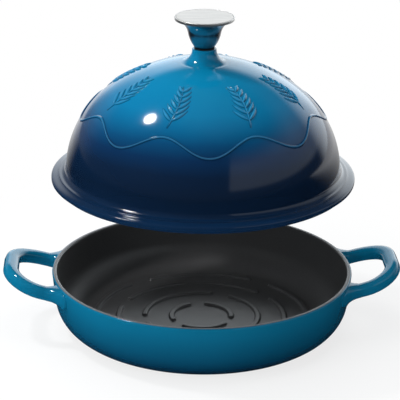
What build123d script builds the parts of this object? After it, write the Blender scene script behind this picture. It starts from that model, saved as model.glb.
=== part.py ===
from build123d import *
import os
from math import atan2, cos, degrees, pi, radians, sin, tan

os.makedirs("parts", exist_ok=True)

# Millimetres. +Z is up, the pan stands on Z = 0 with its axis on Z, and its handles lie along X.
# The lid and its knob are drawn lifted straight up off the pan, as the oven is shown.

# Pan: a shallow round casting, enamelled all over
rim_r = 130.0
pan_height = 52.6
pan_wall = 4.1
wall_draft = 6.0
base_corner_r = 30.0
floor_thick = 5.0
floor_corner_r = 24.0
rim_round = 1.0
foot_width = 8.0
foot_height = 1.0

# Floor ribs: four rings of raised round-ended arcs that hold the food off the floor, from the middle out.
# A ring's radius is its share of the outermost ring's, which stands this margin inside the floor's flat.
rib_margin = 6.4
rib_gaps = (12.0, 15.0, 16.0, 20.0)
rib_ring_ratios = (0.28, 0.532, 0.78, 1.0)
rib_arc_counts = (3, 3, 3, 5)
rib_gap_angles = (95.0, 67.0, 36.0, 52.0)
rib_width = 4.6
rib_height = 1.8
rib_chamfer = 0.9

# Loop handles, cast with the pan: flat and flared at the wall, then rising towards the tip
handle_width = 10.6
handle_thick = 11.4
handle_round = 3.8
handle_reach = 41.0
handle_half = 37.5
handle_flat = 2.0
handle_neck_reach = 8.0
handle_neck_bend = 26.0
handle_tip_bend = 24.0
handle_drop = 1.7
handle_rise = 11.5
handle_outer_flare = 13.0
handle_inner_flare = 5.5

# Lid: a tall dome of the same casting, with a flange that rests on the pan's rim
lid_raised = 84.0
lid_inset = 1.0
lid_wall = 3.8
dome_top = 103.3
dome_shoulder_r = 85.0
flange_width = 12.4
flange_edge = 3.4
flange_slope = 1.8
flange_band = 6.4
flange_step = 0.75
flange_rise = 0.75
flange_fillet_r = 5.0
flange_round = 1.4
crease = 0.3
edge_chamfer = 0.8
lip_depth = 3.5
lip_width = 3.2
lip_clearance = 1.2
lip_relief = 2.0
inner_flare_z = 4.2
inner_flare_r = 4.0

# Relief on the dome, raised by the mould: leaf sprigs round the crown and a scalloped line under them.
# A sprig's middle leans this far from the lid's axis, and the line runs this far up the shoulder's arc.
relief_height = 1.1
relief_root = 1.5
sprig_count = 8
sprig_lean_angle = 31.3
stem_length = 46.0
stem_width = 2.0
stem_bow = 3.0
leaf_pairs = 6
leaf_first = 7.4
leaf_pitch = 6.2
leaf_length = 15.5
leaf_shorten = 1.3
leaf_width = 3.2
leaf_curl = 2.0
leaf_angle = 52.0
leaf_turn_angle = 2.5
scallop_angle = 37.7
scallop_wave = 4.9
scallop_width = 1.6

# Boss: the bell-shaped neck of the lid that carries the knob
boss_top_r = 10.3
boss_root_r = 21.0
boss_height = 10.2
boss_land = 0.9
boss_round = 0.6
pad_r = 11.0
pad_thick = 0.9

# Knob: a spun steel trumpet closed by a brushed disc, on a threaded bush
knob_height = 26.0
knob_mouth_r = 25.0
knob_waist_r = 14.0
knob_waist_z = 13.0
knob_base_r = 8.0
knob_base_thick = 3.0
knob_base_clearance = 0.6
knob_wall = 1.2
knob_waist_angle = 80.0
knob_edge = 2.2
knob_edge_lip = 0.5
knob_edge_chamfer = 0.35
disc_thick = 1.8
disc_rim = 1.0
disc_ledge = 1.2
disc_chamfer = 0.25
disc_clearance = 0.1
insert_r = 6.5
insert_height = 18.0
insert_collar_r = 8.0
insert_collar = 2.5
insert_clearance = 0.05

# Screw and washers
screw_r = 4.0
screw_length = 35.0
screw_thread_clearance = 0.05
screw_hole_clearance = 0.4
screw_head_r = 7.0
screw_head = 5.0
screw_head_chamfer = 1.6
screw_slot_width = 1.8
screw_slot_depth = 2.2
spring_washer_r = 7.2
spring_washer_thick = 2.0
spring_washer_split = 1.6
flat_washer_r = 9.5
flat_washer_thick = 1.6
seat_washer_r = 8.6
seat_washer_thick = 1.0
washer_bore_clearance = 0.3

# Places that follow from the sizes
draft_run = tan(radians(wall_draft))
rim_inner_r = rim_r - pan_wall
floor_z = foot_height + floor_thick
seat_z = pan_height + lid_raised
lid_r = rim_r - lid_inset
dome_r = lid_r - flange_width
flange_step_r = lid_r - flange_band
boss_top = dome_top + boss_height
pad_z = dome_top - lid_wall - pad_thick
knob_z = boss_top + seat_washer_thick
hole_r = screw_r + screw_hole_clearance
washer_bore_r = screw_r + washer_bore_clearance
knob_bore_r = insert_r + insert_clearance
disc_seat_r = knob_mouth_r - disc_rim
disc_r = disc_seat_r - disc_clearance
disc_z = knob_height - disc_thick


def level(height):
    """The upright section plane whose local Y is the height above this level."""
    return Plane(origin=(0, 0, height), x_dir=(1, 0, 0), z_dir=(0, -1, 0))


# Pan: the bowl is turned about Z from its half section
base_corner_x = rim_r - pan_height * draft_run
floor_corner_x = rim_inner_r - (pan_height - floor_z) * draft_run
foot_r = base_corner_x - base_corner_r * tan(radians(45 - wall_draft / 2))
floor_flat_r = floor_corner_x - floor_corner_r * tan(radians(45 - wall_draft / 2))
outer_ring_r = floor_flat_r - rib_margin

# A handle's half path runs from the middle of its tip to where its flat root begins
tip_x = rim_r + handle_reach - handle_width / 2
root_x = rim_r + handle_flat
root_z = pan_height - handle_drop - handle_thick / 2
root_core_r = rim_r - pan_wall / 2
tip_z = root_z + handle_rise
tip_middle = Vector(tip_x, 0, tip_z)
tip_corner = Vector(tip_x, -handle_half, tip_z)
neck = Vector(rim_r + handle_neck_reach, -handle_half, root_z)
root = Vector(root_x, -handle_half, root_z)

with BuildPart() as handle_loop:
    with BuildLine() as half_loop:
        FilletPolyline(tip_middle, tip_corner, neck, root, radius=[handle_tip_bend, handle_neck_bend])
    with BuildSketch(Plane(origin=tip_middle, x_dir=(tip_corner - neck).cross(Vector(0, 1, 0)), z_dir=(0, -1, 0))):
        RectangleRounded(handle_thick, handle_width, handle_round)
    sweep(path=half_loop.wire())
    mirror(about=Plane.XZ)

with BuildPart() as handle_roots:
    with BuildSketch(Plane.XY.offset(root_z - handle_thick / 2)):
        Circle(root_core_r)
        with Locations((0, handle_half), (0, -handle_half)):
            Rectangle(2 * root_x, handle_width)
    extrude(amount=handle_thick)
    corners = handle_roots.edges().filter_by(Axis.Z).filter_by(lambda e: abs(e.center().X) < root_core_r)
    fillet(corners.filter_by(lambda e: abs(e.center().Y) > handle_half), handle_outer_flare)
    corners = handle_roots.edges().filter_by(Axis.Z).filter_by(lambda e: abs(e.center().X) < root_core_r)
    fillet(corners.filter_by(lambda e: abs(e.center().Y) < handle_half - handle_width / 4), handle_inner_flare)
    fillet(handle_roots.edges().filter_by(Axis.Z, reverse=True).filter_by(Axis.Y, reverse=True), handle_round)

with BuildPart() as pan:
    with BuildSketch(Plane.XZ) as bowl_section:
        with BuildLine():
            Polyline((0, 0), (base_corner_x, 0), (rim_r, pan_height), (0, pan_height), close=True)
        make_face()
        fillet(bowl_section.vertices().group_by(Axis.Y)[0].sort_by(Axis.X)[-1], base_corner_r)
    revolve(axis=Axis.Z)
    add(handle_roots.part)
    add(handle_loop.part)
    mirror(handle_loop.part, about=Plane.YZ)
    with BuildSketch(Plane.XZ) as hollow_section:
        with BuildLine():
            Polyline((0, floor_z), (floor_corner_x, floor_z), (rim_inner_r, pan_height), (0, pan_height), close=True)
        make_face()
        fillet(hollow_section.vertices().group_by(Axis.Y)[0].sort_by(Axis.X)[-1], floor_corner_r)
    revolve(axis=Axis.Z, mode=Mode.SUBTRACT)
    fillet(pan.edges().filter_by(GeomType.CIRCLE).filter_by_position(Axis.Z, pan_height, pan_height), rim_round)
    with BuildSketch(Plane.XY):
        Circle(foot_r - foot_width)
    extrude(amount=foot_height, mode=Mode.SUBTRACT)
    with BuildSketch(Plane.XY.offset(floor_z)):
        for ratio, arcs, first_gap, gap in zip(rib_ring_ratios, rib_arc_counts, rib_gap_angles, rib_gaps):
            ring_r = ratio * outer_ring_r
            pitch = 360 / arcs
            gap_angle = degrees((gap + rib_width) / ring_r)
            for i in range(arcs):
                SlotArc(CenterArc((0, 0), ring_r, first_gap + i * pitch + gap_angle / 2, pitch - gap_angle), rib_width)
    extrude(amount=rib_height)
    rib_tops = pan.faces().filter_by(Axis.Z).filter_by_position(
        Axis.Z, floor_z + rib_height, floor_z + rib_height)
    chamfer(rib_tops.edges(), rib_chamfer)
pan.part.label = "pan"
export_step(pan.part, "parts/pan.step")

# Lid: turned about Z from its half section. The dome is a shoulder arc and a crown arc, tangent to each other.
flange_top = flange_edge + flange_slope
step_top = flange_top + flange_step
dome_spring = step_top + flange_rise
dome_rise = dome_top - dome_spring
shoulder_x = dome_r - dome_shoulder_r
crown_r = (shoulder_x**2 + dome_rise**2 - dome_shoulder_r**2) / (2 * (dome_rise - dome_shoulder_r))
crown_z = dome_top - crown_r
shoulder_angle = degrees(atan2(dome_spring - crown_z, shoulder_x))
lip_outer_r = rim_inner_r - lip_clearance
lip_inner_r = lip_outer_r - lip_width
inner_wall_r = dome_r - lid_wall
boss_foot_z = crown_z + (crown_r**2 - boss_root_r**2) ** 0.5


def lean(angle):
    """The unit direction that leans this far from the stem's up towards the sketch's +X."""
    return Vector(sin(radians(angle)), cos(radians(angle)))


def draw_scallop(offset):
    """Draws the scalloped line in plan, this far outside its middle: it swings in at each sprig and out between."""
    swings = [scallop_wave, 0, -scallop_wave, 0] * (sprig_count + 1)
    points = [
        Vector(scallop_r + offset + swing, 0).rotate(Axis.Z, 90 * i / sprig_count) for i, swing in enumerate(swings)]
    for i in range(1, 4 * sprig_count, 2):
        ThreePointArc(*points[i:i + 3])


# Relief: each form is drawn flat, pushed through the dome and kept within a skin that starts inside the wall
with BuildPart() as skin:
    with BuildSketch(level(seat_z)):
        with BuildLine():
            skin_crown = CenterArc((0, crown_z), crown_r + relief_height, 90, shoulder_angle - 90)
            skin_shoulder = CenterArc(
                (shoulder_x, dome_spring), dome_shoulder_r + relief_height, shoulder_angle, -shoulder_angle)
            root_shoulder = CenterArc((shoulder_x, dome_spring), dome_shoulder_r - relief_root, 0, shoulder_angle)
            root_crown = CenterArc((0, crown_z), crown_r - relief_root, shoulder_angle, 90 - shoulder_angle)
            Line(skin_shoulder @ 1, root_shoulder @ 0)
            Line(root_crown @ 1, skin_crown @ 0)
        make_face()
    revolve(axis=Axis.Z)

sprig_heading = 180 / sprig_count
sprig_out = Vector(sin(radians(sprig_lean_angle)), 0, cos(radians(sprig_lean_angle))).rotate(Axis.Z, sprig_heading)
sprig_side = Vector(0, 1, 0).rotate(Axis.Z, sprig_heading)
sprig_middle = Vector(0, 0, seat_z + crown_z) + crown_r * sprig_out
stem_foot = Vector(0, -stem_length / 2)
stem_tip = Vector(0, stem_length / 2)
stem_bend = Vector(stem_bow, 0)
stem_edge = Vector(stem_width / 2, 0)

with BuildPart() as sprig:
    with BuildSketch(Plane(origin=sprig_middle, x_dir=sprig_side, z_dir=sprig_out)):
        with BuildLine():
            ThreePointArc(stem_foot - stem_edge, stem_bend - stem_edge, stem_tip)
            ThreePointArc(stem_tip, stem_bend + stem_edge, stem_foot + stem_edge)
            Line(stem_foot + stem_edge, stem_foot - stem_edge)
        make_face()
        for pair in range(leaf_pairs):
            run = leaf_first + pair * leaf_pitch
            length = leaf_length - pair * leaf_shorten
            leaf_root = stem_foot + Vector(stem_bow * sin(pi * run / stem_length), run)
            for side in (1, -1):
                along = lean(side * (leaf_angle - pair * leaf_turn_angle))
                across = Vector(-along.Y, along.X) * side
                leaf_tip = leaf_root + along * length + across * leaf_curl
                belly = leaf_root + along * (length / 2) + across * (leaf_curl / 4)
                with BuildLine():
                    ThreePointArc(leaf_root, belly + across * (leaf_width / 2), leaf_tip)
                    ThreePointArc(leaf_tip, belly - across * (leaf_width / 2), leaf_root)
                make_face()
    extrude(amount=relief_height + relief_root + crown_r - (crown_r**2 - stem_length**2 / 4) ** 0.5, both=True)
    add(skin.part, mode=Mode.INTERSECT)

scallop_r = shoulder_x + dome_shoulder_r * cos(radians(scallop_angle))
with BuildPart() as scallop:
    with BuildSketch(Plane.XY.offset(seat_z)):
        with BuildLine():
            draw_scallop(scallop_width / 2)
        make_face()
        with BuildLine():
            draw_scallop(-scallop_width / 2)
        make_face(mode=Mode.SUBTRACT)
    extrude(amount=boss_top)
    add(skin.part, mode=Mode.INTERSECT)

with BuildPart() as lid:
    with BuildSketch(level(seat_z)) as lid_section:
        with BuildLine():
            crown = CenterArc((0, crown_z), crown_r, 90, shoulder_angle - 90)
            shoulder = CenterArc((shoulder_x, dome_spring), dome_shoulder_r, shoulder_angle, -shoulder_angle)
            Polyline(
                shoulder @ 1,
                (flange_step_r, step_top),
                (flange_step_r, flange_top),
                (lid_r, flange_edge),
                (lid_r, 0),
                (lip_outer_r, 0),
                (lip_outer_r, -lip_depth),
                (lip_inner_r, -lip_depth),
                (lip_inner_r - lip_relief, 0),
                (inner_wall_r, inner_flare_z),
                (inner_wall_r, dome_spring),
            )
            inner_shoulder = CenterArc((shoulder_x, dome_spring), dome_shoulder_r - lid_wall, 0, shoulder_angle)
            inner_crown = CenterArc((0, crown_z), crown_r - lid_wall, shoulder_angle, 90 - shoulder_angle)
            Line(inner_crown @ 1, crown @ 0)
        make_face()
        for x, z, radius in (
            (dome_r, dome_spring, flange_fillet_r),
            (lid_r, flange_edge, flange_round),
            (inner_wall_r, inner_flare_z, inner_flare_r),
        ):
            fillet(lid_section.vertices().sort_by_distance((x, z))[0], radius)
        for x, z, length in (
            (flange_step_r, step_top, crease),
            (lid_r, 0, edge_chamfer),
            (lip_outer_r, -lip_depth, edge_chamfer),
            (lip_inner_r, -lip_depth, edge_chamfer),
        ):
            chamfer(lid_section.vertices().sort_by_distance((x, z))[0], length)
    revolve(axis=Axis.Z)
    add(scallop.part)
    with PolarLocations(0, sprig_count):
        add(sprig.part)
    with BuildSketch(level(seat_z)) as boss_section:
        with BuildLine():
            foot = Line((0, dome_top - lid_wall / 2), (boss_root_r, boss_foot_z - lid_wall / 2))
            Line(foot @ 1, (boss_root_r, boss_foot_z))
            bell = TangentArc((boss_top_r, boss_top - boss_land), (boss_root_r, boss_foot_z), tangent=(0, -1))
            Polyline(bell @ 0, (boss_top_r, boss_top), (0, boss_top), foot @ 0)
        make_face()
        fillet(boss_section.vertices().sort_by_distance((boss_top_r, boss_top))[0], boss_round)
    revolve(axis=Axis.Z)
    with BuildSketch(Plane.XY.offset(seat_z + pad_z)):
        Circle(pad_r)
    extrude(amount=lid_wall)
    with BuildSketch(Plane.XY.offset(seat_z + pad_z)):
        Circle(hole_r)
    extrude(amount=boss_top - pad_z, mode=Mode.SUBTRACT)
lid.part.label = "lid"
export_step(lid.part, "parts/lid.step")


def trumpet(base, waist, mouth):
    """A bowl-shaped arc from the base to the waist and a flared arc on to the mouth, tangent to each other."""
    lean = Vector(cos(radians(knob_waist_angle)), sin(radians(knob_waist_angle)))
    return TangentArc(waist, base, tangent=-lean), TangentArc(waist, mouth, tangent=lean)


# Knob shell: spun trumpet with a thick base that grips the threaded bush and a recessed mouth for the disc
mouth_z = knob_height - knob_edge
flare_end = (knob_mouth_r - knob_edge_lip, mouth_z)
ledge_r = disc_seat_r - disc_ledge
inner_base = (knob_base_r + knob_base_clearance, knob_base_thick)
with BuildPart() as knob_shell:
    with BuildSketch(level(seat_z + knob_z)) as shell_section:
        with BuildLine():
            trumpet((knob_base_r, 0), (knob_waist_r, knob_waist_z), flare_end)
            trumpet(inner_base, (knob_waist_r - knob_wall, knob_waist_z), (ledge_r, disc_z))
            Polyline(
                flare_end,
                (knob_mouth_r, mouth_z),
                (knob_mouth_r, knob_height),
                (disc_seat_r, knob_height),
                (disc_seat_r, disc_z),
                (ledge_r, disc_z),
            )
            Polyline(inner_base, (knob_bore_r, knob_base_thick), (knob_bore_r, 0), (knob_base_r, 0))
        make_face()
        for corner in ((knob_mouth_r, mouth_z), (knob_mouth_r, knob_height)):
            chamfer(shell_section.vertices().sort_by_distance(corner)[0], knob_edge_chamfer)
    revolve(axis=Axis.Z)
knob_shell.part.label = "knob_shell"
export_step(knob_shell.part, "parts/knob_shell.step")

with BuildPart() as knob_top_disc:
    with BuildSketch(Plane.XY.offset(seat_z + knob_z + disc_z)):
        Circle(disc_r)
    extrude(amount=disc_thick)
    chamfer(knob_top_disc.edges().group_by(Axis.Z)[-1], disc_chamfer)
knob_top_disc.part.label = "knob_top_disc"
export_step(knob_top_disc.part, "parts/knob_top_disc.step")

with BuildPart() as knob_insert:
    with BuildSketch(Plane.XY.offset(seat_z + knob_z)):
        Circle(insert_r)
    extrude(amount=insert_height)
    with BuildSketch(Plane.XY.offset(seat_z + knob_z + knob_base_thick)):
        Circle(insert_collar_r)
    extrude(amount=insert_collar)
    with BuildSketch(Plane.XY.offset(seat_z + knob_z)):
        Circle(screw_r + screw_thread_clearance)
    extrude(amount=insert_height, mode=Mode.SUBTRACT)
knob_insert.part.label = "knob_insert"
export_step(knob_insert.part, "parts/knob_insert.step")


def washer(bottom, outer_r, thick):
    """A plain washer round the screw, standing on this height above the lid's seat."""
    with BuildPart() as ring:
        with BuildSketch(Plane.XY.offset(seat_z + bottom)):
            Circle(outer_r)
            Circle(washer_bore_r, mode=Mode.SUBTRACT)
        extrude(amount=thick)
    return ring


knob_seat_washer = washer(boss_top, seat_washer_r, seat_washer_thick)
knob_seat_washer.part.label = "knob_seat_washer"
export_step(knob_seat_washer.part, "parts/knob_seat_washer.step")

flat_washer_z = pad_z - flat_washer_thick
flat_washer = washer(flat_washer_z, flat_washer_r, flat_washer_thick)
flat_washer.part.label = "flat_washer"
export_step(flat_washer.part, "parts/flat_washer.step")

spring_washer_z = flat_washer_z - spring_washer_thick
with BuildPart() as spring_washer:
    with BuildSketch(Plane.XY.offset(seat_z + spring_washer_z)):
        Circle(spring_washer_r)
        Circle(washer_bore_r, mode=Mode.SUBTRACT)
        with Locations((spring_washer_r / 2, 0)):
            Rectangle(spring_washer_r, spring_washer_split, mode=Mode.SUBTRACT)
    extrude(amount=spring_washer_thick)
spring_washer.part.label = "spring_washer"
export_step(spring_washer.part, "parts/spring_washer.step")

# Screw: a slotted pan-head screw put in from inside the lid
with BuildPart() as knob_screw:
    with BuildSketch(Plane.XY.offset(seat_z + spring_washer_z)):
        Circle(screw_r)
    extrude(amount=screw_length)
    with BuildSketch(Plane.XY.offset(seat_z + spring_washer_z - screw_head)):
        Circle(screw_head_r)
    extrude(amount=screw_head)
    chamfer(knob_screw.edges().filter_by(GeomType.CIRCLE).group_by(Axis.Z)[0], screw_head_chamfer)
    with BuildSketch(Plane.XY.offset(seat_z + spring_washer_z - screw_head)):
        Rectangle(3 * screw_head_r, screw_slot_width)
    extrude(amount=screw_slot_depth, mode=Mode.SUBTRACT)
knob_screw.part.label = "knob_screw"
export_step(knob_screw.part, "parts/knob_screw.step")
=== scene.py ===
import math

import bmesh
import bpy
import numpy as np
from mathutils import Matrix, Vector


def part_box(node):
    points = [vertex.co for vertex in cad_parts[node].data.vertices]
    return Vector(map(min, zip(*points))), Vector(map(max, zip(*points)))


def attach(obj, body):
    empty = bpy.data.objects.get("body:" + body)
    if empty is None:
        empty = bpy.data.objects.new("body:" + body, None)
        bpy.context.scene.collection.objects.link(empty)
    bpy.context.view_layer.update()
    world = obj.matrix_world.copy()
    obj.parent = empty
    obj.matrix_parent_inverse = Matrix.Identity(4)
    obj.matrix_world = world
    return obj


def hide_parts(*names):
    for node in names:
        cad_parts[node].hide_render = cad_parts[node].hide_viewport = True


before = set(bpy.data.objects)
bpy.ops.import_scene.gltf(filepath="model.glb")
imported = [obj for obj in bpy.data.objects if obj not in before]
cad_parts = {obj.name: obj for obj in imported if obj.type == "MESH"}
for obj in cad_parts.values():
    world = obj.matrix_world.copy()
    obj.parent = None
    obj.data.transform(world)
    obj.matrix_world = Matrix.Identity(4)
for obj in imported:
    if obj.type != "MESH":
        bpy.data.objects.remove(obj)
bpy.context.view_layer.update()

# Camera: a long lens from a little left of the front and about 20 degrees above the table.
turn, climb, roll = math.radians(-2.9), math.radians(20.74), math.radians(0.61)
focal_length, aim_height, aim_left, distance = 167.9, 0.1149, 0.0023, 1.6
back = Vector((math.sin(turn) * math.cos(climb), -math.cos(turn) * math.cos(climb), math.sin(climb)))
level_right = Vector((math.cos(turn), math.sin(turn), 0))
level_up = back.cross(level_right)
camera_right = level_right * math.cos(roll) + level_up * math.sin(roll)
camera_up = back.cross(camera_right)
camera_data = bpy.data.cameras.new("camera")
camera_data.lens = focal_length
camera_data.sensor_width = 36
camera = bpy.data.objects.new("camera", camera_data)
bpy.context.scene.collection.objects.link(camera)
eye = Vector((0, 0, aim_height)) - level_right * aim_left + back * distance
facing = Matrix((camera_right, camera_up, back)).transposed().to_4x4()
camera.matrix_world = Matrix.Translation(eye) @ facing
bpy.context.scene.camera = camera


# Pan: one iron casting, enamelled blue outside and satin black inside, with a bare grey line on its rim.
# The bowl is turned from its outline. The floor ribs stand on it, and the two loop handles grow out of
# its wall.
def rounded(corners, step=0.8):
    """The outline through corners given as (r, z, radius). Each corner becomes the arc that touches its two
    sides, centred on the bisector at radius / sin(half angle) from the corner, with a point about every
    step."""
    points = []
    for i, (r, z, radius) in enumerate(corners):
        here = np.array((r, z), float)
        if radius == 0:
            points.append(here[None])
            continue
        before = np.array(corners[i - 1][:2]) - here
        after = np.array(corners[(i + 1) % len(corners)][:2]) - here
        before, after = before / np.linalg.norm(before), after / np.linalg.norm(after)
        half = math.acos(np.clip(before @ after, -1, 1)) / 2
        middle = (before + after) / np.linalg.norm(before + after)
        centre = here + middle * radius / math.sin(half)
        start = here + before * radius / math.tan(half) - centre
        sweep = math.pi - 2 * half
        side = np.sign(start[0] * middle[1] - start[1] * middle[0])
        angles = np.linspace(0, sweep, max(4, int(radius * sweep / step) + 3)) * -side
        turned_x = start[0] * np.cos(angles) - start[1] * np.sin(angles)
        turned_z = start[0] * np.sin(angles) + start[1] * np.cos(angles)
        points.append(centre + np.stack([turned_x, turned_z], -1))
    return np.concatenate(points)


def thicken(outline, step):
    """The same outline with each span cut into equal parts no longer than step."""
    spans = np.linalg.norm(np.diff(outline, axis=0), axis=1)
    along = np.concatenate([[0], np.cumsum(spans)])
    marks = [np.linspace(a, b, max(1, int(np.ceil((b - a) / step))), endpoint=False)
             for a, b in zip(along[:-1], along[1:])]
    marks = np.concatenate([*marks, along[-1:]])
    return np.stack([np.interp(marks, along, outline[:, k]) for k in (0, 1)], -1)


def grid_mesh(name, points, close_rows=False, close_columns=True):
    """A mesh from a (rows, columns, 3) array in millimetres, where point (i, j) is joined to (i + 1, j) and
    (i, j + 1). A closed direction is also joined from its last point to its first."""
    rows, columns = points.shape[:2]
    index = np.arange(rows * columns).reshape(rows, columns)
    if close_rows:
        index = np.concatenate([index, index[:1]])
    if close_columns:
        index = np.concatenate([index, index[:, :1]], axis=1)
    quads = np.stack([index[:-1, :-1], index[:-1, 1:], index[1:, 1:], index[1:, :-1]], -1).reshape(-1, 4)
    mesh = bpy.data.meshes.new(name)
    mesh.vertices.add(rows * columns)
    mesh.vertices.foreach_set("co", (points / 1000).ravel())
    mesh.loops.add(quads.size)
    mesh.loops.foreach_set("vertex_index", quads.ravel())
    mesh.polygons.add(len(quads))
    mesh.polygons.foreach_set("loop_start", np.arange(0, quads.size, 4))
    mesh.polygons.foreach_set("use_smooth", np.ones(len(quads), bool))
    mesh.update(calc_edges=True)
    return mesh


def turned(name, outline, sides, closed=False):
    """A surface of revolution about Z: point (r, z) of the outline goes to (r cos a, r sin a, z)."""
    angles = np.linspace(0, 2 * math.pi, sides, endpoint=False)
    r, z = outline[:, :1], outline[:, 1:]
    points = np.stack([r * np.cos(angles), r * np.sin(angles), z + 0 * angles], -1)
    return grid_mesh(name, points, close_rows=closed)


def piece(name, meshes, body, node, finish):
    """One object from one or more meshes, with its doubles merged and its faces turned outwards. It rides on
    the body, stands for the CAD node and takes the given finish."""
    joined = bmesh.new()
    for mesh in meshes:
        joined.from_mesh(mesh)
        bpy.data.meshes.remove(mesh)
    bmesh.ops.remove_doubles(joined, verts=joined.verts, dist=1e-6)
    bmesh.ops.dissolve_degenerate(joined, edges=joined.edges, dist=1e-7)
    bmesh.ops.recalc_face_normals(joined, faces=joined.faces)
    mesh = bpy.data.meshes.new(name)
    joined.to_mesh(mesh)
    joined.free()
    mesh.polygons.foreach_set("use_smooth", np.ones(len(mesh.polygons), bool))
    made = bpy.data.objects.new(name, mesh)
    bpy.context.scene.collection.objects.link(made)
    made.data.materials.append(finish)
    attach(made, body)
    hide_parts(node)


class Wire:
    """A shader socket that is added, subtracted, multiplied and divided like a number."""

    def __init__(self, tree, socket=None):
        self.tree, self.socket = tree, socket

    def node(self, kind, settings=(), inputs=(), stops=(), out=0):
        """Adds a node: its settings and ramp stops first, then the values or wires of its sockets."""
        made = self.tree.nodes.new("ShaderNode" + kind)
        for name, value in dict(settings).items():
            setattr(made, name, value)
        for i, (position, colour) in enumerate(stops):
            stop = made.color_ramp.elements[i] if i < 2 else made.color_ramp.elements.new(position)
            stop.position, stop.color = position, colour
        for name, value in dict(inputs).items():
            if isinstance(value, Wire):
                self.tree.links.new(value.socket, made.inputs[name])
            else:
                made.inputs[name].default_value = value
        return Wire(self.tree, made.outputs[out]) if made.outputs else None

    def maths(self, operation, first, second):
        return self.node("Math", {"operation": operation}, {0: first, 1: second})

    def __add__(self, other):
        return self.maths("ADD", self, other)

    __radd__ = __add__

    def __sub__(self, other):
        return self.maths("SUBTRACT", self, other)

    def __rsub__(self, other):
        return self.maths("SUBTRACT", other, self)

    def __mul__(self, other):
        return self.maths("MULTIPLY", self, other)

    __rmul__ = __mul__

    def __truediv__(self, other):
        return self.maths("DIVIDE", self, other)

    def __rtruediv__(self, other):
        return self.maths("DIVIDE", other, self)

    def __pow__(self, other):
        return self.maths("POWER", self, other)

    def at_least(self, least):
        return self.maths("MAXIMUM", self, least)

    def axis(self, name):
        """The X, Y or Z of a place."""
        return self.node("SeparateXYZ", inputs={0: self}, out=name)

    def between(self, low, high):
        """0 below low and 1 above high, with a smooth step from one to the other."""
        limits = {"Value": self, "From Min": low, "From Max": high}
        return self.node("MapRange", {"interpolation_type": "SMOOTHSTEP"}, limits)

    def blend(self, first, second):
        """The colour that goes from first to second as this value goes from 0 to 1. A Mix node's sockets 6
        and 7 are its colours, and its output 2 is their mix."""
        return self.node("Mix", {"data_type": "RGBA"}, {0: self, 6: first, 7: second}, out=2)

    def ramp(self, stops):
        """The colour that stands at this value on a ramp of (position, colour) stops."""
        return self.node("ValToRGB", inputs={0: self}, stops=stops)


def srgb(red, green, blue):
    """A colour given as it shows on a screen, 0 to 255, in the linear light that the shader works in."""
    shown = np.array((red, green, blue)) / 255
    light = np.where(shown <= 0.04045, shown / 12.92, ((shown + 0.055) / 1.055) ** 2.4)
    return (*(float(v) for v in light), 1.0)


def new_finish(name):
    """A material with an empty shader, and the wire of a point's place on the piece in metres."""
    finish = bpy.data.materials.new(name)
    finish.use_nodes = True
    finish.node_tree.nodes.clear()
    return finish, Wire(finish.node_tree).node("TexCoord", out="Object")


def noise(spot, scale, detail=2.0, roughness=0.5):
    """Soft clouds from 0 to 1, about as many to the metre as scale says."""
    values = {"Vector": spot, "Scale": scale, "Detail": detail, "Roughness": roughness}
    return spot.node("TexNoise", inputs=values)


def bump(height, strength, distance):
    """A normal that leans as if the surface rose by height times distance metres."""
    return height.node("Bump", inputs={"Strength": strength, "Distance": distance, "Height": height})


def shade(finish, **sockets):
    """Ends a material with a Principled shader whose sockets are given by name, with _ for a space."""
    start = Wire(finish.node_tree)
    values = {name.replace("_", " "): value for name, value in sockets.items()}
    surface = start.node("BsdfPrincipled", inputs=values)
    start.node("OutputMaterial", inputs={"Surface": surface})


rim_r, pan_top, wall, draft = 130.0, 52.6, 4.1, math.radians(6)
floor_z, belly_r, inner_belly_r, rim_round = 6.0, 30.0, 24.0, 1.4
foot_width, foot_height = 8.0, 1.0
slope = math.tan(draft)
foot_x = rim_r - pan_top * slope
foot_r = foot_x - belly_r * math.tan((math.pi / 2 - draft) / 2)
hollow_x = rim_r - wall - (pan_top - floor_z) * slope
bowl = rounded([
    (0, floor_z, 0), (hollow_x, floor_z, inner_belly_r), (rim_r - wall, pan_top, rim_round),
    (rim_r, pan_top, rim_round), (foot_x, 0, belly_r), (foot_r - foot_width, 0, 0.5),
    (foot_r - foot_width - 0.3, foot_height, 0.3), (0, foot_height, 0)])
bowl_mesh = turned("bowl", thicken(bowl, 3.0), 288)

# Each ring of ribs: its radius, its number of arcs, the direction of its first gap and the gap's length.
rings = ((26.0, 3, 95.0, 12.0), (49.5, 3, 67.0, 15.0), (72.5, 3, 36.0, 16.0), (93.0, 5, 52.0, 20.0))
rib_width, rib_height, rib_side, rib_round, rib_foot = 4.6, 1.8, 0.55, 1.1, 0.9


def rib_points(ring, start, end):
    """A round-ended raised arc: loops round its centre line at shrinking offsets. Offset d runs along radius
    ring + d, round the far end, back along ring - d and round the near end. The loops climb the rib's foot
    and side, then its rounded edge, and close on its flat top."""
    half = rib_width / 2
    lean = np.linspace(0, math.pi / 2, 7)
    round_out = half - rib_round * (1 - np.cos(lean))
    round_up = rib_side + (rib_height - rib_side) * np.sin(lean)
    offsets = np.concatenate([[half + rib_foot, half + rib_foot / 3], round_out, [0.6, 0.0]])
    heights = np.concatenate([[-0.05, 0.12], round_up, [rib_height, rib_height]])
    cap = np.linspace(0, math.pi, 13)[1:-1]
    along = np.linspace(start, end, 40)
    direction = np.concatenate([along, end + 0 * cap, along[::-1], start + 0 * cap])
    outwards = np.concatenate([1 + 0 * along, np.cos(cap), -1 + 0 * along, -np.cos(cap)])
    forwards = np.concatenate([0 * along, np.sin(cap), 0 * along, -np.sin(cap)])
    r = ring + offsets[:, None] * outwards
    s = offsets[:, None] * forwards
    x = r * np.cos(direction) - s * np.sin(direction)
    y = r * np.sin(direction) + s * np.cos(direction)
    return np.stack([x, y, floor_z + heights[:, None] + 0 * x], -1)


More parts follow.
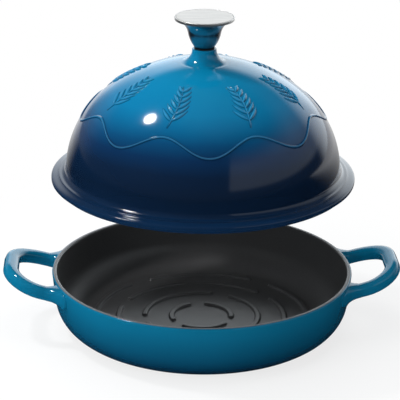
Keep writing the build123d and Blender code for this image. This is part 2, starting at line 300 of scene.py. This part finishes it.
rib_meshes = []
for ring, arcs, first_gap, gap in rings:
    half_gap = (gap + rib_width) / ring / 2
    for i in range(arcs):
        start = math.radians(first_gap + i * 360 / arcs) + half_gap
        end = math.radians(first_gap + (i + 1) * 360 / arcs) - half_gap
        rib_meshes.append(grid_mesh("rib", rib_points(ring, start, end)))

# The handles: half the width of the loop, the reach of its tip, the bend there and the circle of its roots,
# then the bar's section, its rise from the wall to the tip, and how far and how much it swells at the wall.
handle_half, tip_x, bend_r, root_r = 37.5, 165.7, 28.0, 127.2
half_wide, half_high, bar_round, tip_spread = 5.3, 5.7, 4.2, 0.4
below_rim, lift, lift_from, lift_bow = 1.7, 11.5, 133.0, 0.35
swell_full, swell_reach, hold_reach = 2.4, 13.5, 15.0
swell_outside, swell_inside, swell_top, swell_below = 13.0, 6.0, 0.6, 6.0
root_z = pan_top - below_rim - half_high


def handle_points(side):
    """A rounded bar carried along the loop. Its path runs out from the wall, round the tip and back. A
    section point at distance d from the wall follows the wall's curve, x = sqrt(r r - y y) + d, and lets go
    of it as d grows. Each section swells towards the wall as a quarter ellipse, so that the bar leaves the
    wall without a corner, and its inner side widens towards the tip."""
    root_x = math.sqrt(root_r**2 - handle_half**2)
    leg = np.linspace(0, tip_x - bend_r - root_x, 34)
    bend = np.linspace(0, math.pi / 2, 22)[1:]
    tip = np.linspace(-handle_half + bend_r, 0, 10)[1:]
    d = np.concatenate([leg, leg[-1] + bend_r * np.sin(bend), tip_x - root_x + 0 * tip])
    y = np.concatenate([-handle_half + 0 * leg, -handle_half + bend_r - bend_r * np.cos(bend), tip])
    nx = np.concatenate([0 * leg, np.sin(bend), 1 + 0 * tip])
    ny = np.concatenate([-1 + 0 * leg, -np.cos(bend), 0 * tip])
    halves = ((d, 1), (y, -1), (nx, 1), (ny, -1))
    d, y, nx, ny = [np.concatenate([half, sign * half[-2::-1]])[:, None] for half, sign in halves]
    rise = np.clip((root_x + d - lift_from) / (tip_x - lift_from), 0, 1)
    z = root_z + lift * rise * (lift_bow * rise + 1 - lift_bow)
    lean = np.arctan(lift * (2 * lift_bow * rise + 1 - lift_bow) / (tip_x - lift_from))
    lean = lean * np.clip(rise * 6, 0, 1)
    corner = np.linspace(0, math.pi / 2, 9)
    cx = half_wide - bar_round + bar_round * np.cos(corner)
    cz = half_high - bar_round + bar_round * np.sin(corner)
    across = np.concatenate([cx, -cx[::-1], -cx, cx[::-1]])
    upright = np.concatenate([cz, cz[::-1], -cz, -cz[::-1]])
    near = np.clip(1 - (d - swell_full) / swell_reach, 0, 1)
    swell = 1 - np.sqrt(1 - near**2)
    wider = np.where(across > 0, swell_outside, swell_inside) / half_wide * swell
    off = across * (1 + wider + np.where(across > 0, 0, tip_spread) * rise**2)
    up = upright * (1 + np.where(upright > 0, swell_top, swell_below) / half_high * swell)
    py = y + ny * off
    hold = np.clip(1 - d / hold_reach, 0, 1) ** 2
    curve = (np.sqrt(root_r**2 - py**2) - root_x) * hold
    px = root_x + curve + d + nx * off * np.cos(lean) - up * np.sin(lean)
    pz = z + up * np.cos(lean) + nx * off * np.sin(lean)
    return np.stack([side * px, py, pz], -1)


handle_meshes = [grid_mesh("handle", handle_points(side)) for side in (1, -1)]

# skin is how far a point stands outside the bowl's outer face, so it is negative within the wall.
finish, spot = new_finish("pan_enamel")
x, y, z = [spot.axis(name) * 1000.0 for name in "XYZ"]
radius = (x * x + y * y) ** 0.5
beyond, under, above = [side.at_least(0.0) for side in (radius - foot_r, belly_r - z, z - belly_r)]
skin = (beyond * beyond + under * under) ** 0.5 - above * slope - belly_r
outside = skin.between(-2.2, -1.7)
at_rim = z.between(pan_top - 0.6, pan_top - 0.25)
rim_line = at_rim * skin.between(-3.1, -2.7) * (1 - skin.between(-1.1, -0.7))
cloud = noise(spot, 18.0, detail=3.0)
blue = ((z + (cloud - 0.5) * 8) / 62.0).ramp((
    (0.0, srgb(5, 36, 58)), (0.2, srgb(6, 60, 88)), (0.45, srgb(7, 84, 115)), (0.7, srgb(8, 101, 135)),
    (1.0, srgb(9, 112, 146))))
grain = noise(spot, 700.0, detail=3.0, roughness=0.6)
black = grain.blend(srgb(50, 50, 51), srgb(68, 68, 69))
waves = noise(spot, 38.0, roughness=0.4)
height = waves * outside * 0.35 + grain * (1 - outside) * 0.6
shade(finish, Base_Color=rim_line.blend(outside.blend(black, blue), srgb(98, 100, 103)),
      Roughness=0.42 - outside * 0.33 + rim_line * 0.3, Coat_Weight=1 - outside, Coat_Roughness=0.45,
      Normal=bump(height, 0.35, 0.0002))
pan_meshes = [bowl_mesh, *rib_meshes, *handle_meshes]
piece("pan_casting", pan_meshes, body="pan", node="pan", finish=finish)

# Lid: a second casting, a tall dome with a flange that rests on the pan's rim and a lip that keeps it
# centred. Its enamel shades from sea blue at the top to navy at the flange. The same mould raises the leaf
# sprigs and the scalloped line. Their ridges are painted lighter, partly as thinner glaze and partly as a
# painted highlight, and their feet darker, partly as pooled glaze and partly as painted shade.
lip_depth, lid_wall = 3.5, 3.8
seat_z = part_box("lid")[0][2] * 1000 + lip_depth
dome_r, dome_top, shoulder_r, spring = 116.6, 103.3, 85.0, 6.7
shoulder_x = dome_r - shoulder_r
rise = dome_top - spring
crown_r = (shoulder_x**2 + rise**2 - shoulder_r**2) / (2 * (rise - shoulder_r))
crown_z = dome_top - crown_r
join = math.atan2(spring - crown_z, shoulder_x)


def arc(centre, radius, first, last, count):
    """Points at radius round the centre, from the first angle to the last."""
    angles = np.linspace(first, last, count)
    return np.array(centre) + radius * np.stack([np.cos(angles), np.sin(angles)], -1)


def dome_line(inwards, count):
    """Half the arch from its foot to its top: the shoulder's circle, then the crown's, which goes on from it
    without a corner, both smaller by inwards."""
    return np.concatenate([
        arc((shoulder_x, spring), shoulder_r - inwards, 0, join, count)[:-1],
        arc((0, crown_z), crown_r - inwards, join, math.pi / 2, count)])


def tangent_arc(begin, end, heading, count=24):
    """The arc from begin to end that leaves begin along heading. It turns by twice the angle from heading to
    the chord."""
    begin, end, heading = np.array(begin, float), np.array(end, float), np.array(heading, float)
    heading = heading / np.linalg.norm(heading)
    chord = end - begin
    swing = math.atan2(heading[0] * chord[1] - heading[1] * chord[0], heading @ chord)
    radius = np.linalg.norm(chord) / 2 / math.sin(swing)
    centre = begin + radius * np.array((-heading[1], heading[0]))
    angles = np.linspace(0, 2 * swing, count)[:, None]
    spoke = begin - centre
    side = np.array((-spoke[1], spoke[0]))
    return centre + spoke * np.cos(angles) + side * np.sin(angles)


boss_r, boss_z, boss_land, boss_foot_r = 10.3, 113.5, 0.9, 21.0
flange_r, step_r, lip_r, inner_r, fillet_z = 129.0, 122.6, 124.7, dome_r - lid_wall, 12.0
boss_foot = (boss_foot_r, crown_z + math.sqrt(crown_r**2 - boss_foot_r**2))
boss_top = rounded([(0, boss_z, 0), (boss_r, boss_z, 0.7), (boss_r, boss_z - boss_land, 0)])[:-1]
boss = tangent_arc((boss_r, boss_z - boss_land), boss_foot, (0, -1))
outer = dome_line(0, 70)[::-1]
outer = outer[(outer[:, 0] > boss_foot_r) & (outer[:, 1] > fillet_z)]
edge = rounded([
    (*outer[-1], 0), (dome_r, spring, 5.0), (step_r, 5.95, 0.35), (step_r, 5.2, 0.3), (flange_r, 3.4, 1.4),
    (flange_r, 0, 1.0), (lip_r, 0, 0.4), (lip_r, -lip_depth, 0.9), (121.5, -lip_depth, 0.9), (119.5, 0, 1.0),
    (inner_r, 4.2, 4.0), (inner_r, spring, 0)])[1:-1]
lid_outline = thicken(np.concatenate([boss_top, boss, outer, edge, dome_line(lid_wall, 50)]), 2.2)
lid_outline[:, 1] += seat_z
lid_mesh = turned("lid", lid_outline, 300)

# The relief: each stem's run down the dome to its root, its length, bow, half width and height, then the
# leaves along it, the scalloped line below, and how deep the edges of all these strips are sunk.
sprigs, stem_run, stem_length, stem_bow, stem_half, stem_height = 8, 96.0, 46.0, 3.0, 1.25, 1.2
leaf_pairs, first_leaf, leaf_step, leaf_length, leaf_shrink = 6, 0.16, 0.135, 15.5, 1.3
leaf_angle, angle_shrink, leaf_curl, leaf_half, leaf_height = 52.0, 2.5, 0.01, 2.1, 1.5
scallop_run, scallop_swing, scallop_half, scallop_height, sunk = 112.0, 8.0, 1.7, 1.05, 0.04
dome = dome_line(0, 400)[::-1]
dome_run = np.concatenate([[0], np.cumsum(np.linalg.norm(np.diff(dome, axis=0), axis=1))])


def dome_at(run):
    """The (r, z) of the dome's line at this run down it from its top."""
    return np.interp(run, dome_run, dome[:, 0]), np.interp(run, dome_run, dome[:, 1])


def on_dome(heading, run, height):
    """The point at this direction round the lid, in radians, and this run down the dome from its top, raised
    by height along the dome's normal, which is square to the line from 0.5 above the point to 0.5 below."""
    r, z = dome_at(run)
    (low_r, low_z), (high_r, high_z) = dome_at(run + 0.5), dome_at(run - 0.5)
    dr, dz = low_r - high_r, low_z - high_z
    length = np.hypot(dr, dz)
    r, z = r - dz / length * height, z + dr / length * height
    return np.stack([r * np.cos(heading), r * np.sin(heading), z + seat_z], -1)


def ridge(heading, run, u, v, half_width, height):
    """A raised strip on the dome along the curve (u, v), in millimetres up the dome and sideways from its
    root. Across the strip, from -1 to 1, the height is (1 - w w) squared, so it meets the dome without a
    crease. Its edges are sunk a little, so that no gap shows."""
    du, dv = np.gradient(u), np.gradient(v)
    length = np.hypot(du, dv) + 1e-9
    w = np.linspace(-1, 1, 13)
    at_u = u[:, None] - dv[:, None] / length[:, None] * w * half_width[:, None]
    at_v = v[:, None] + du[:, None] / length[:, None] * w * half_width[:, None]
    raised = height[:, None] * (1 - w**2) ** 2 - sunk
    down = run - at_u
    return on_dome(heading + at_v / dome_at(down)[0], down, raised)


relief = []
along = np.linspace(0, 1, 26)
for i in range(sprigs):
    heading = 2 * math.pi * (i + 0.5) / sprigs - math.pi / 2
    bow = stem_bow * np.sin(math.pi * along)
    taper = stem_half * (1 - 0.5 * along)
    height = stem_height * np.sqrt(np.sin(math.pi * np.clip(along, 0.004, 0.996)))
    stem = ridge(heading, stem_run, stem_length * along, bow, taper, height)
    relief.append(grid_mesh("stem", stem, close_columns=False))
    for pair in range(leaf_pairs):
        root = first_leaf + leaf_step * pair
        reach = (leaf_length - leaf_shrink * pair) * along
        swing = math.radians(leaf_angle - angle_shrink * pair)
        curl = leaf_curl * reach**2
        belly = np.sin(math.pi * np.clip(along, 0.01, 0.99) ** 0.85)
        u = stem_length * root + reach * math.cos(swing) + curl * math.sin(swing)
        sideways = reach * math.sin(swing) - curl * math.cos(swing)
        for side in (-1, 1):
            v = stem_bow * math.sin(math.pi * root) + side * sideways
            leaf = ridge(heading, stem_run, u, v, leaf_half * belly**0.6, leaf_height * belly**0.5)
            relief.append(grid_mesh("leaf", leaf, close_columns=False))
round_lid = np.linspace(0, 2 * math.pi, 481)[:-1, None]
w = np.linspace(-1, 1, 11)
wave = scallop_run + scallop_swing * np.cos(sprigs * round_lid) + scallop_half * w
scallop = on_dome(round_lid + 0 * w, wave, scallop_height * (1 - w**2) ** 2 - sunk + 0 * round_lid)
relief.append(grid_mesh("scallop", scallop, close_rows=True, close_columns=False))

# skin is how far a point stands outside the crown's sphere, or past the join outside the shoulder's ring.
finish, spot = new_finish("lid_enamel")
x, y, z = [spot.axis(name) * 1000.0 for name in "XYZ"]
radius = (x * x + y * y) ** 0.5
up = z - seat_z
above = (up - spring).at_least(0.0)
crown_skin = (radius * radius + (up - crown_z) * (up - crown_z)) ** 0.5 - crown_r
shoulder_skin = ((radius - shoulder_x) * (radius - shoulder_x) + above * above) ** 0.5 - shoulder_r
past_join = ((radius - shoulder_x) * (spring - crown_z) - (up - spring) * shoulder_x).between(-1.0, 1.0)
skin = crown_skin + (shoulder_skin - crown_skin) * past_join
flare = 8.0 * (1 - up.between(2.0, 5.5))
outside = (skin - flare).between(-2.2, -1.7)
patterned = radius.between(23.0, 25.0) * up.between(14.0, 18.0)
# Painted light on the relief: the ridge tops are lightened, partly as thin glaze and partly as a painted
# highlight, and their feet darkened, partly as pooled glaze and partly as painted shade.
thin_glaze_and_highlight = skin.between(0.35, 1.2) * patterned
pooled_glaze_and_shade = skin.between(0.0, 0.1) * (1 - skin.between(0.25, 0.7)) * patterned
cloud = noise(spot, 14.0)
blue = ((up + (cloud - 0.5) * 8) / 100.0).ramp((
    (0.0, srgb(12, 40, 70)), (0.08, srgb(10, 32, 58)), (0.2, srgb(8, 26, 48)), (0.38, srgb(7, 29, 55)),
    (0.5, srgb(6, 42, 78)), (0.6, srgb(5, 66, 106)), (0.69, srgb(5, 92, 134)), (0.79, srgb(5, 112, 156)),
    (1.0, srgb(7, 124, 166))))
glaze_with_painted_relief_shade = (thin_glaze_and_highlight * 0.24).blend((pooled_glaze_and_shade * 0.5).blend(blue, srgb(4, 22, 44)), srgb(84, 166, 208))
grain = noise(spot, 700.0, detail=3.0, roughness=0.6)
black = grain.blend(srgb(19, 19, 20), srgb(33, 33, 34))
waves = noise(spot, 30.0, roughness=0.4)
height = waves * outside * 0.3 + grain * (1 - outside) * 0.6
shade(finish, Base_Color=outside.blend(black, glaze_with_painted_relief_shade), Roughness=0.42 - outside * 0.32,
      Normal=bump(height, 0.3, 0.0002))
piece("lid_casting", [lid_mesh], body="lid", node="lid", finish=finish)
piece("lid_relief", relief, body="lid", node="lid", finish=finish)


# Knob: a spun and polished steel trumpet, closed by a disc of brushed steel on a ledge in its mouth. A screw
# from inside the lid holds it on the boss, over a thin dark washer.
def stretched(spot, x, y, z):
    """The place with each axis scaled, so a noise of scale 1 has that many clouds to the metre along it."""
    return spot.node("Mapping", inputs={"Vector": spot, "Scale": (x, y, z)})


washer_thick, steel, bore_r, base_r, base_thick = 1.0, 1.2, 6.6, 8.0, 3.0
knob_z = seat_z + boss_z + washer_thick
knob_r, knob_height, disc_z, disc_r = 25.0, 26.0, 24.2, 23.9
waist, mouth, steep = (14.0, 13.0), (24.5, 23.8), math.radians(80)
inner_waist, inner_mouth = (waist[0] - steel, waist[1]), (22.8, disc_z)
upwards = np.array((math.cos(steep), math.sin(steep)))
rolled_edge = rounded([
    (*mouth, 0), (knob_r, mouth[1], 0.2), (knob_r, knob_height, 0.45), (knob_r - 1, knob_height, 0.2),
    (knob_r - 1, disc_z, 0), (*inner_mouth, 0)])[1:]
shell = np.concatenate([
    [(bore_r, 0)], tangent_arc(waist, (base_r, 0), -upwards)[::-1], tangent_arc(waist, mouth, upwards)[1:],
    rolled_edge, tangent_arc(inner_waist, inner_mouth, upwards)[::-1],
    tangent_arc(inner_waist, (base_r + 0.6, base_thick), -upwards)[1:], [(bore_r, base_thick)]])
shell[:, 1] += knob_z
shell_mesh = turned("shell", shell, 160, closed=True)
finish, spot = new_finish("polished_steel")
z = spot.axis("Z") * 1000.0
smear = noise(spot, 60.0, detail=3.0)
# The lip is rougher and painted near-white: a painted highlight that stands for the bright rim's reflection.
lip_and_painted_highlight = z.between(knob_z + mouth[1] - 0.3, knob_z + mouth[1] + 0.2)
steel_grey = smear.blend(srgb(152, 154, 158), srgb(172, 174, 178))
shade(finish, Base_Color=lip_and_painted_highlight.blend(steel_grey, srgb(232, 231, 229)), Metallic=1.0,
      Roughness=0.2 + smear * 0.08 + lip_and_painted_highlight * 0.22)
piece("knob_trumpet", [shell_mesh], body="lid", node="knob_shell", finish=finish)

disc = rounded([(0, disc_z, 0), (disc_r, disc_z, 0.2), (disc_r, knob_height, 0.35), (0, knob_height, 0)])
disc = thicken(disc, 1.5)
disc[:, 1] += knob_z
disc_mesh = turned("disc", disc, 160)
finish, spot = new_finish("brushed_steel")
lines = noise(stretched(spot, 22.0, 700.0, 22.0), 1.0, detail=5.0, roughness=0.75)
shade(finish, Base_Color=lines.between(0.25, 0.75).blend(srgb(172, 168, 164), srgb(222, 217, 212)),
      Metallic=1.0, Roughness=0.3 + lines * 0.14, Normal=bump(lines, 0.5, 0.00008))
piece("knob_disc", [disc_mesh], body="lid", node="knob_top_disc", finish=finish)

# Fastenings inside the knob: a threaded bush, a slotted screw and its two washers, all of plain machined
# steel, and the thin dark washer between the knob and the boss. They keep their solids and get their
# finish here.
finish, spot = new_finish("machined_steel")
marks = noise(stretched(spot, 60.0, 60.0, 5000.0), 1.0, detail=3.0)
shade(finish, Base_Color=marks.blend(srgb(150, 151, 153), srgb(196, 197, 199)), Metallic=1.0,
      Roughness=0.28 + marks * 0.14, Normal=bump(marks, 0.3, 0.00005))
for node in ("knob_insert", "knob_screw", "spring_washer", "flat_washer"):
    bpy.data.objects[node].material_slots[0].material = finish

finish, spot = new_finish("dark_seal")
speckle = noise(spot, 1200.0)
shade(finish, Base_Color=speckle.blend(srgb(16, 17, 19), srgb(34, 35, 38)), Roughness=0.6,
      Normal=bump(speckle, 0.4, 0.00008))
bpy.data.objects["knob_seat_washer"].material_slots[0].material = finish


# Floor and light: a white paper floor that fades into a white room. A round lamp high on the left is the
# main light. The room is bright behind the oven and dark in front of it, as a small studio is, so that the
# enamel looks deep.
def ray_kinds(wire):
    """Three masks for the ray that meets the surface: from the camera, from a mirror, and through glass."""
    return [wire.node("LightPath", out=f"Is {kind} Ray") for kind in ("Camera", "Glossy", "Transmission")]


half_floor = 6
corners = [(-half_floor, -half_floor, 0), (half_floor, -half_floor, 0), (half_floor, half_floor, 0),
           (-half_floor, half_floor, 0)]
ground = bpy.data.meshes.new("floor")
ground.from_pydata(corners, [], [(0, 1, 2, 3)])
floor = bpy.data.objects.new("floor", ground)
bpy.context.scene.collection.objects.link(floor)

# Only mirrors see the dark part of the floor. Near the oven some of the lit paper, with its shadow, shows.
finish, spot = new_finish("floor_paper")
x, y = spot.axis("X"), spot.axis("Y")
seen, mirrored, clear = ray_kinds(spot)
glow_share = 0.78 + 0.22 * ((x * x + y * y) ** 0.5).between(0.18, 0.36)
dark_part = mirrored * (1 - y.between(0.1, 0.9) * (x / y).between(-1.1, -0.35))
paper = noise(spot, 400.0).blend(srgb(249, 249, 249), srgb(255, 255, 255))
dim = srgb(22, 26, 32)
lit = spot.node("BsdfPrincipled", inputs={
    "Base Color": dark_part.blend(paper, dim), "Roughness": 0.9, "Specular IOR Level": 0.0})
glow = spot.node("Emission", inputs={"Color": dark_part.blend(srgb(255, 255, 255), dim), "Strength": 1.0})
mixed = spot.node("MixShader", inputs={0: glow_share * (seen + mirrored + clear), 1: lit, 2: glow})
spot.node("OutputMaterial", inputs={"Surface": mixed})
floor.data.materials.append(finish)

# The room is white to the camera. Mirrors see a bright wall behind, a soft round patch at its right and
# a faint card at the right in front. All else is lit by a soft fill that comes more from the left.
world = bpy.data.worlds.new("studio")
world.use_nodes = True
world.node_tree.nodes.clear()
spot = Wire(world.node_tree).node("TexCoord", out="Generated")
x, y, z = [spot.axis(name) for name in "XYZ"]
seen, mirrored, clear = ray_kinds(spot)
behind = y.between(0.3, 0.9) * (1 - z.between(0.4, 0.58))
panel = 1.9 * (0.12 + 0.88 * x.between(-0.45, 0.0)) * (1 - 0.65 * x.between(0.2, 0.6))
patch = (x * 0.62 + y * 0.78 + z * 0.1).between(0.88, 1.0) * 1.3
card_height = z.between(0.1, 0.18) * (1 - z.between(0.5, 0.8))
card = x.between(0.3, 0.34) * (1 - y.between(0.2, 0.8)) * card_height * 0.5
room = 0.05 + behind * panel + patch + card
fill = 1.05 - 0.95 * x.between(-0.7, 0.7)
strength = seen + clear + mirrored * room + (1 - seen - clear - mirrored) * fill
bluish, white = (0.9, 0.96, 1.0, 1.0), (1.0, 1.0, 1.0, 1.0)
studio = spot.node("Background", inputs={"Color": (seen + clear).blend(bluish, white), "Strength": strength})
spot.node("OutputWorld", inputs={"Surface": studio})
bpy.context.scene.world = world


def lamp(name, place, aim_z, shape, width, height, power, mirrored=True):
    """A soft lamp that faces the oven's axis at height aim_z, and may be left out of mirror reflections."""
    data = bpy.data.lights.new(name, "AREA")
    data.shape, data.size, data.size_y, data.energy = shape, width, height, power
    made = bpy.data.objects.new(name, data)
    bpy.context.scene.collection.objects.link(made)
    made.location = place
    made.rotation_euler = (Vector(place) - Vector((0, 0, aim_z))).to_track_quat("Z", "Y").to_euler()
    made.visible_glossy = mirrored


lamp("round_lamp", (-0.695, 0.181, 1.323), 0.15, "DISK", 0.155, 0.155, power=6)
lamp("top_lamp", (0.1, 0.1, 1.6), 0.1, "RECTANGLE", 1.2, 1.0, power=8, mirrored=False)
lamp("front_lamp", (-1.4, -0.95, 0.75), 0.1, "RECTANGLE", 0.8, 0.6, power=7.5, mirrored=False)
bpy.context.scene.view_settings.view_transform = "Standard"
